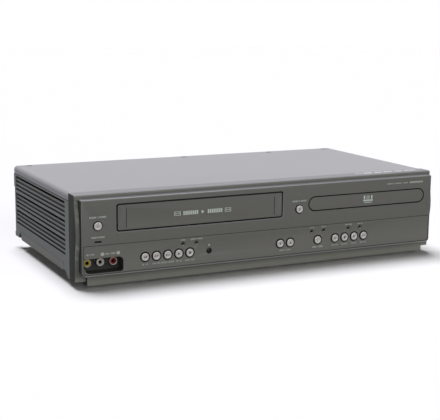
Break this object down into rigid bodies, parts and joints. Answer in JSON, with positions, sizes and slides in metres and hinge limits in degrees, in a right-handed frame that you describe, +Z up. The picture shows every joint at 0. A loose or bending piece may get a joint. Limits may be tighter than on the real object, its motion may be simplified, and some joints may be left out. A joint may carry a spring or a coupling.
{
  "type": "disc and cassette combination player",
  "caption": "Flat disc and video cassette player with sliding disc tray, sprung cassette flap, push buttons, front jacks and louvred sides.",
  "frame": {"origin": "middle of the bounding box at table level, under the feet", "axes": "+X to the right seen from the front, +Y from the front to the back, +Z up"},
  "size_m": [0.435, 0.235, 0.097],
  "materials": {
    "cover_paint": "fine satin paint, lavender grey",
    "side_plastic": "fine grained, dark grey",
    "pan_steel": "zinc plated sheet",
    "rear_paint": "satin paint, dark grey",
    "foot_rubber": "matt",
    "screw_steel": "blackened",
    "black_plastic": "fine grained",
    "bezel_plastic": "metallic satin lacquer, warm grey",
    "panel_plastic": "metallic satin lacquer, warm grey",
    "window_dark": "tinted, clear",
    "window_red": "tinted, clear",
    "button_silver": "satin metallic lacquer",
    "board_green": "solder resist",
    "board_brown": "paper laminate",
    "transformer_yellow": "tape and ferrite",
    "nickel": "nickel plated",
    "insert_yellow": "satin",
    "insert_white": "satin",
    "insert_red": "satin",
    "deck_steel": "zinc plated sheet",
    "white_plastic": "natural",
    "grey_plastic": "natural",
    "aluminium": "turned",
    "polished_steel": "ground",
    "roller_rubber": "ground, matt"
  },
  "bodies": {
    "cabinet": {"top_cover": "cover_paint", "side_panel_left": "side_plastic", "side_panel_right": "side_plastic", "bottom_pan": "pan_steel", "rear_panel": "rear_paint", "feet": "foot_rubber", "cover_screws": "screw_steel", "cord_bushing": "black_plastic", "front_bezel": "bezel_plastic", "control_panel": "panel_plastic", "sensor_window": "window_dark", "indicator_lights": "window_red", "standby_window": "window_red", "front_board": "board_brown", "main_board": "board_green", "power_board": "board_brown", "transformer": "transformer_yellow", "front_jack_block": "black_plastic", "rear_jack_block": "black_plastic", "jack_recess": "black_plastic", "front_jack_shells": "nickel", "rear_connectors": "nickel", "jack_inserts_yellow": "insert_yellow", "jack_inserts_white": "insert_white", "jack_inserts_red": "insert_red", "deck_chassis": "deck_steel", "lower_drum": "aluminium", "drive_frame": "black_plastic", "guide_rods": "polished_steel", "clamp_bridge": "deck_steel"},
    "flap": {"cassette_flap": "bezel_plastic"},
    "sliders": {"loading_sliders": "grey_plastic"},
    "holder": {"cassette_holder": "deck_steel"},
    "supply_reel": {"supply_reel": "white_plastic"},
    "takeup_reel": {"takeup_reel": "white_plastic"},
    "upper_drum": {"upper_drum": "aluminium"},
    "capstan": {"capstan": "polished_steel"},
    "pinch_arm": {"pinch_arm": "deck_steel"},
    "pinch_roller": {"pinch_roller": "roller_rubber"},
    "tray": {"disc_tray": "grey_plastic", "tray_front": "bezel_plastic"},
    "tray_gear": {"tray_gear": "white_plastic"},
    "turntable": {"turntable": "black_plastic"},
    "pickup": {"optical_pickup": "grey_plastic"},
    "clamp_puck": {"clamp_puck": "black_plastic"},
    "button_standby": {"button_standby": "button_silver"},
    "button_tray": {"button_tray": "button_silver"},
    "button_tape_1": {"button_tape_1": "button_silver"},
    "button_tape_2": {"button_tape_2": "button_silver"},
    "button_tape_3": {"button_tape_3": "button_silver"},
    "button_tape_4": {"button_tape_4": "button_silver"},
    "button_tape_5": {"button_tape_5": "button_silver"},
    "button_tracking_1": {"button_tracking_1": "button_silver"},
    "button_tracking_2": {"button_tracking_2": "button_silver"},
    "button_source": {"button_source": "button_silver"},
    "button_disc_1": {"button_disc_1": "button_silver"},
    "button_disc_2": {"button_disc_2": "button_silver"},
    "button_disc_3": {"button_disc_3": "button_silver"},
    "button_disc_4": {"button_disc_4": "button_silver"}
  },
  "joints": [
    {"name": "press_standby", "type": "slide", "parent": "cabinet", "child": "button_standby", "axis": [0, 1, 0], "range_m": [0, 0.001], "stiffness_N_per_m": 150, "springref_m": -0.002},
    {"name": "press_tray", "type": "slide", "parent": "cabinet", "child": "button_tray", "axis": [0, 1, 0], "range_m": [0, 0.001], "stiffness_N_per_m": 150, "springref_m": -0.002},
    {"name": "press_tape_1", "type": "slide", "parent": "cabinet", "child": "button_tape_1", "axis": [0, 1, 0], "range_m": [0, 0.001], "stiffness_N_per_m": 150, "springref_m": -0.002},
    {"name": "press_tape_2", "type": "slide", "parent": "cabinet", "child": "button_tape_2", "axis": [0, 1, 0], "range_m": [0, 0.001], "stiffness_N_per_m": 150, "springref_m": -0.002},
    {"name": "press_tape_3", "type": "slide", "parent": "cabinet", "child": "button_tape_3", "axis": [0, 1, 0], "range_m": [0, 0.001], "stiffness_N_per_m": 150, "springref_m": -0.002},
    {"name": "press_tape_4", "type": "slide", "parent": "cabinet", "child": "button_tape_4", "axis": [0, 1, 0], "range_m": [0, 0.001], "stiffness_N_per_m": 150, "springref_m": -0.002},
    {"name": "press_tape_5", "type": "slide", "parent": "cabinet", "child": "button_tape_5", "axis": [0, 1, 0], "range_m": [0, 0.001], "stiffness_N_per_m": 150, "springref_m": -0.002},
    {"name": "press_tracking_1", "type": "slide", "parent": "cabinet", "child": "button_tracking_1", "axis": [0, 1, 0], "range_m": [0, 0.001], "stiffness_N_per_m": 150, "springref_m": -0.002},
    {"name": "press_tracking_2", "type": "slide", "parent": "cabinet", "child": "button_tracking_2", "axis": [0, 1, 0], "range_m": [0, 0.001], "stiffness_N_per_m": 150, "springref_m": -0.002},
    {"name": "press_source", "type": "slide", "parent": "cabinet", "child": "button_source", "axis": [0, 1, 0], "range_m": [0, 0.001], "stiffness_N_per_m": 150, "springref_m": -0.002},
    {"name": "press_disc_1", "type": "slide", "parent": "cabinet", "child": "button_disc_1", "axis": [0, 1, 0], "range_m": [0, 0.001], "stiffness_N_per_m": 150, "springref_m": -0.002},
    {"name": "press_disc_2", "type": "slide", "parent": "cabinet", "child": "button_disc_2", "axis": [0, 1, 0], "range_m": [0, 0.001], "stiffness_N_per_m": 150, "springref_m": -0.002},
    {"name": "press_disc_3", "type": "slide", "parent": "cabinet", "child": "button_disc_3", "axis": [0, 1, 0], "range_m": [0, 0.001], "stiffness_N_per_m": 150, "springref_m": -0.002},
    {"name": "press_disc_4", "type": "slide", "parent": "cabinet", "child": "button_disc_4", "axis": [0, 1, 0], "range_m": [0, 0.001], "stiffness_N_per_m": 150, "springref_m": -0.002},
    {"name": "flap_hinge", "type": "hinge", "parent": "cabinet", "child": "flap", "pos_m": [-0.0797, -0.1122, 0.0881], "axis": [1, 0, 0], "range_deg": [0, 88], "stiffness_Nm_per_rad": 0.01, "springref_deg": -17.19},
    {"name": "loading_slide", "type": "slide", "parent": "cabinet", "child": "sliders", "axis": [0, 1, 0], "range_m": [0, 0.04]},
    {"name": "holder_drop", "type": "slide", "parent": "sliders", "child": "holder", "axis": [0, 0, -1], "range_m": [0, 0.014]},
    {"name": "supply_reel_spin", "type": "hinge", "parent": "cabinet", "child": "supply_reel", "pos_m": [-0.1257, -0.0385, 0.045], "axis": [0, 0, 1], "continuous": true},
    {"name": "takeup_reel_spin", "type": "hinge", "parent": "cabinet", "child": "takeup_reel", "pos_m": [-0.0337, -0.0385, 0.045], "axis": [0, 0, 1], "continuous": true},
    {"name": "drum_spin", "type": "hinge", "parent": "cabinet", "child": "upper_drum", "pos_m": [-0.0841, 0.0555, 0.0478], "axis": [0.0872, 0, 0.9962], "continuous": true},
    {"name": "capstan_spin", "type": "hinge", "parent": "cabinet", "child": "capstan", "pos_m": [-0.0241, 0.0335, 0.045], "axis": [0, 0, 1], "continuous": true},
    {"name": "pinch_arm_swing", "type": "hinge", "parent": "cabinet", "child": "pinch_arm", "pos_m": [-0.0106, 0.0555, 0.05], "axis": [0, 0, 1], "range_deg": [-15, 0], "stiffness_Nm_per_rad": 0.005, "springref_deg": 11.46},
    {"name": "pinch_roller_spin", "type": "hinge", "parent": "pinch_arm", "child": "pinch_roller", "pos_m": [-0.0106, 0.0335, 0.057], "axis": [0, 0, 1], "continuous": true},
    {"name": "tray_slide", "type": "slide", "parent": "cabinet", "child": "tray", "axis": [0, -1, 0], "range_m": [0, 0.13]},
    {"name": "tray_gear_spin", "type": "hinge", "parent": "cabinet", "child": "tray_gear", "pos_m": [0.07563, -0.0765, 0.0646], "axis": [0, 0, 1], "range_deg": [0, 960]},
    {"name": "turntable_spin", "type": "hinge", "parent": "cabinet", "child": "turntable", "pos_m": [0.12563, -0.0385, 0.065], "axis": [0, 0, 1], "continuous": true},
    {"name": "pickup_slide", "type": "slide", "parent": "cabinet", "child": "pickup", "axis": [0, 1, 0], "range_m": [0, 0.034]},
    {"name": "puck_spin", "type": "hinge", "parent": "cabinet", "child": "clamp_puck", "pos_m": [0.12563, -0.0385, 0.08], "axis": [0, 0, 1], "continuous": true}
  ],
  "couplings": [
    {"joint": "tray_gear_spin", "follows": "tray_slide", "rad_per_m": 125}
  ]
}
